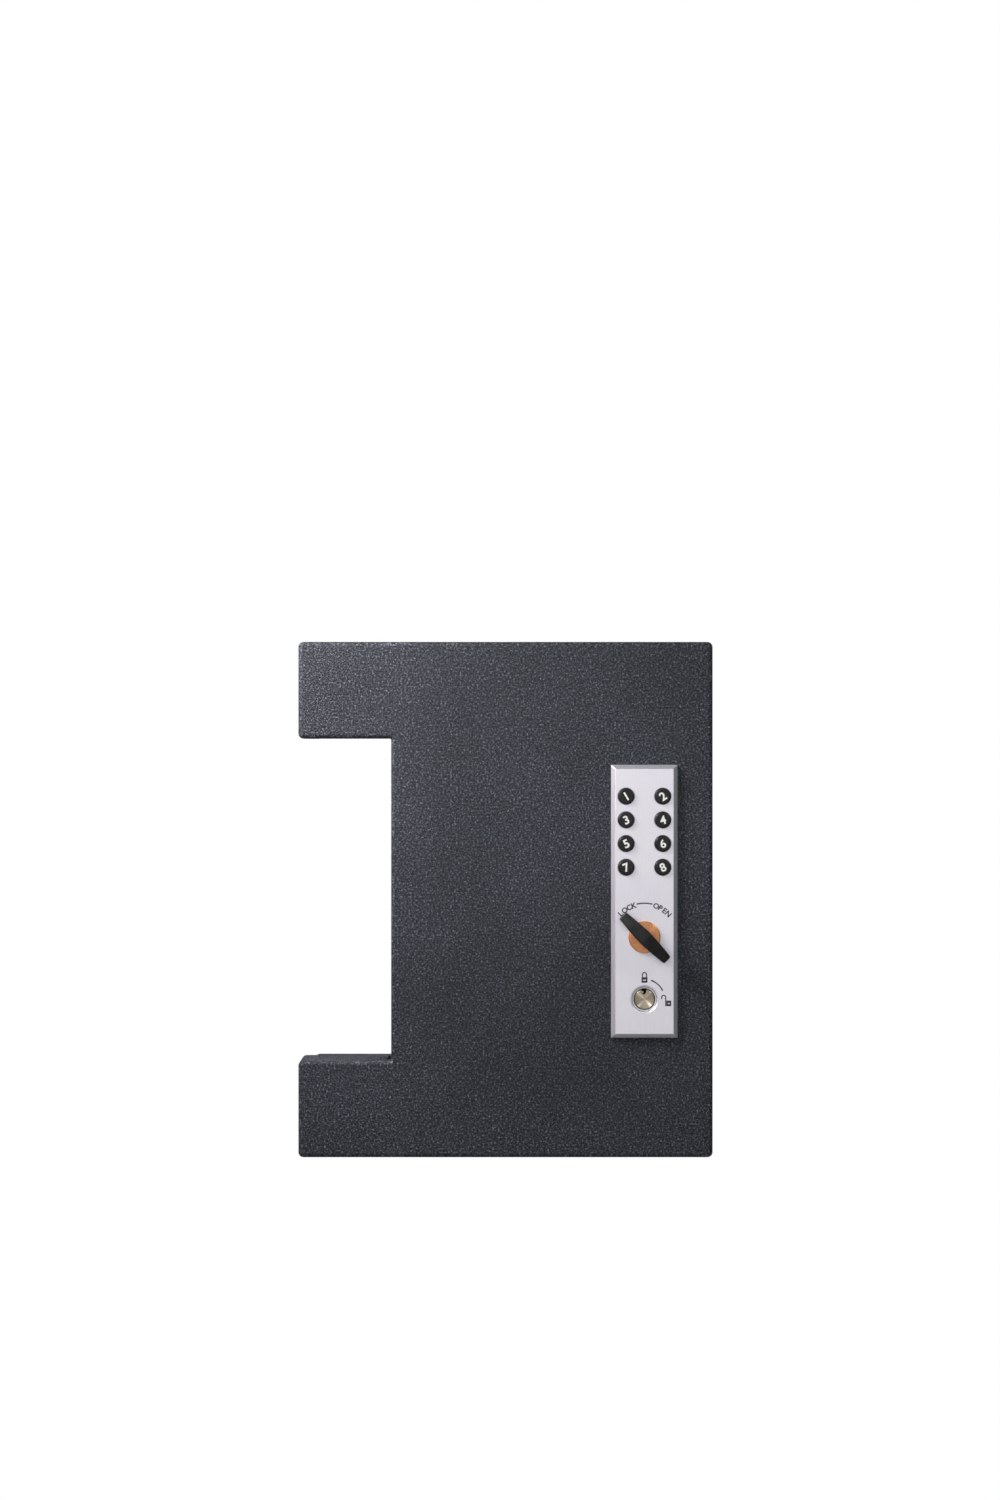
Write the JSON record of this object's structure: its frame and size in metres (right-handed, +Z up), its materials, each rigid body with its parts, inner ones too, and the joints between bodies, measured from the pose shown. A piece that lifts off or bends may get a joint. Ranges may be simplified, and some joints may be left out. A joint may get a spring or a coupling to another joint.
{
  "type": "wall-mounted rifle lock box",
  "caption": "C-shaped steel lock box that closes over a rifle's receiver, with a push-button lock, a turning knob and a key override.",
  "frame": {"origin": "centre of the back face, on the wall", "axes": "+Z up, +X to the right seen from the front, and the front faces -Y"},
  "size_m": [0.2858, 0.114, 0.3556],
  "materials": {
    "powder_coat": "fine textured black powder coat",
    "plain_steel": "plain",
    "zinc_steel": "zinc plated",
    "spring_steel": "drawn wire",
    "faceplate": "brushed along the plate",
    "plain_aluminium": "plain",
    "copper_disc": "brushed copper colour",
    "black_plastic": "glossy black",
    "brass": "brushed",
    "foam": "closed-cell foam"
  },
  "bodies": {
    "case": {"body_shell": "powder_coat", "body_foam": "foam", "strike_bracket": "plain_steel", "strike_screw_1": "zinc_steel", "strike_screw_2": "zinc_steel", "upper_hinge_case_leaf": "plain_steel", "lower_hinge_case_leaf": "plain_steel", "upper_hinge_pin": "plain_steel", "lower_hinge_pin": "plain_steel"},
    "door": {"door_shell": "powder_coat", "door_foam": "foam", "upper_hinge_door_leaf": "plain_steel", "lower_hinge_door_leaf": "plain_steel", "faceplate": "faceplate", "lock_case": "plain_steel", "lock_case_cover": "plain_steel", "lock_screw_1": "zinc_steel", "lock_screw_2": "zinc_steel", "lock_screw_3": "zinc_steel", "lock_screw_4": "zinc_steel", "stem_guide": "zinc_steel", "knob_disc": "copper_disc", "bolt_guide": "zinc_steel", "key_cylinder": "brass", "key_nut": "brass", "button_spring_1": "spring_steel", "button_spring_2": "spring_steel", "button_spring_3": "spring_steel", "button_spring_4": "spring_steel", "button_spring_5": "spring_steel", "button_spring_6": "spring_steel", "button_spring_7": "spring_steel", "button_spring_8": "spring_steel"},
    "knob": {"knob": "black_plastic", "knob_spindle": "plain_steel"},
    "bolt": {"latch_bolt": "plain_steel"},
    "code_bar": {"code_plate": "plain_aluminium"},
    "key_plug": {"key_plug": "brass", "key_cam": "zinc_steel"},
    "override": {"override_slide": "zinc_steel"},
    "push_1": {"button_1": "black_plastic"},
    "push_2": {"button_2": "black_plastic"},
    "push_3": {"button_3": "black_plastic"},
    "push_4": {"button_4": "black_plastic"},
    "push_5": {"button_5": "black_plastic"},
    "push_6": {"button_6": "black_plastic"},
    "push_7": {"button_7": "black_plastic"},
    "push_8": {"button_8": "black_plastic"}
  },
  "joints": [
    {"name": "door_swing", "type": "hinge", "parent": "case", "child": "door", "pos_m": [-0.1397, -0.046, 0], "axis": [0, 0, -1], "range_deg": [0, 120]},
    {"name": "knob_turn", "type": "hinge", "parent": "door", "child": "knob", "pos_m": [0.0956, -0.1, -0.0256], "axis": [0, 1, 0], "range_deg": [0, 90]},
    {"name": "bolt_slide", "type": "slide", "parent": "door", "child": "bolt", "axis": [-1, 0, 0], "range_m": [0, 0.0114]},
    {"name": "code_plate_slide", "type": "slide", "parent": "door", "child": "code_bar", "axis": [0, 0, -1], "range_m": [0, 0.0046]},
    {"name": "key_turn", "type": "hinge", "parent": "door", "child": "key_plug", "pos_m": [0.0956, -0.09, -0.0683], "axis": [0, 1, 0], "range_deg": [0, 90]},
    {"name": "override_lift", "type": "slide", "parent": "door", "child": "override", "axis": [0, 0, 1], "range_m": [0, 0.0114]},
    {"name": "button_1_press", "type": "slide", "parent": "door", "child": "push_1", "axis": [0, 1, 0], "range_m": [0, 0.003], "stiffness_N_per_m": 300, "springref_m": -0.004, "deforming": ["button_spring_1"]},
    {"name": "button_2_press", "type": "slide", "parent": "door", "child": "push_2", "axis": [0, 1, 0], "range_m": [0, 0.003], "stiffness_N_per_m": 300, "springref_m": -0.004, "deforming": ["button_spring_2"]},
    {"name": "button_3_press", "type": "slide", "parent": "door", "child": "push_3", "axis": [0, 1, 0], "range_m": [0, 0.003], "stiffness_N_per_m": 300, "springref_m": -0.004, "deforming": ["button_spring_3"]},
    {"name": "button_4_press", "type": "slide", "parent": "door", "child": "push_4", "axis": [0, 1, 0], "range_m": [0, 0.003], "stiffness_N_per_m": 300, "springref_m": -0.004, "deforming": ["button_spring_4"]},
    {"name": "button_5_press", "type": "slide", "parent": "door", "child": "push_5", "axis": [0, 1, 0], "range_m": [0, 0.003], "stiffness_N_per_m": 300, "springref_m": -0.004, "deforming": ["button_spring_5"]},
    {"name": "button_6_press", "type": "slide", "parent": "door", "child": "push_6", "axis": [0, 1, 0], "range_m": [0, 0.003], "stiffness_N_per_m": 300, "springref_m": -0.004, "deforming": ["button_spring_6"]},
    {"name": "button_7_press", "type": "slide", "parent": "door", "child": "push_7", "axis": [0, 1, 0], "range_m": [0, 0.003], "stiffness_N_per_m": 300, "springref_m": -0.004, "deforming": ["button_spring_7"]},
    {"name": "button_8_press", "type": "slide", "parent": "door", "child": "push_8", "axis": [0, 1, 0], "range_m": [0, 0.003], "stiffness_N_per_m": 300, "springref_m": -0.004, "deforming": ["button_spring_8"]}
  ],
  "couplings": [
    {"joint": "bolt_slide", "follows": "knob_turn", "m_per_rad": 0.0072025},
    {"joint": "code_plate_slide", "follows": "knob_turn", "m_per_rad": 0.002881},
    {"joint": "override_lift", "follows": "key_turn", "m_per_rad": 0.0072025}
  ]
}
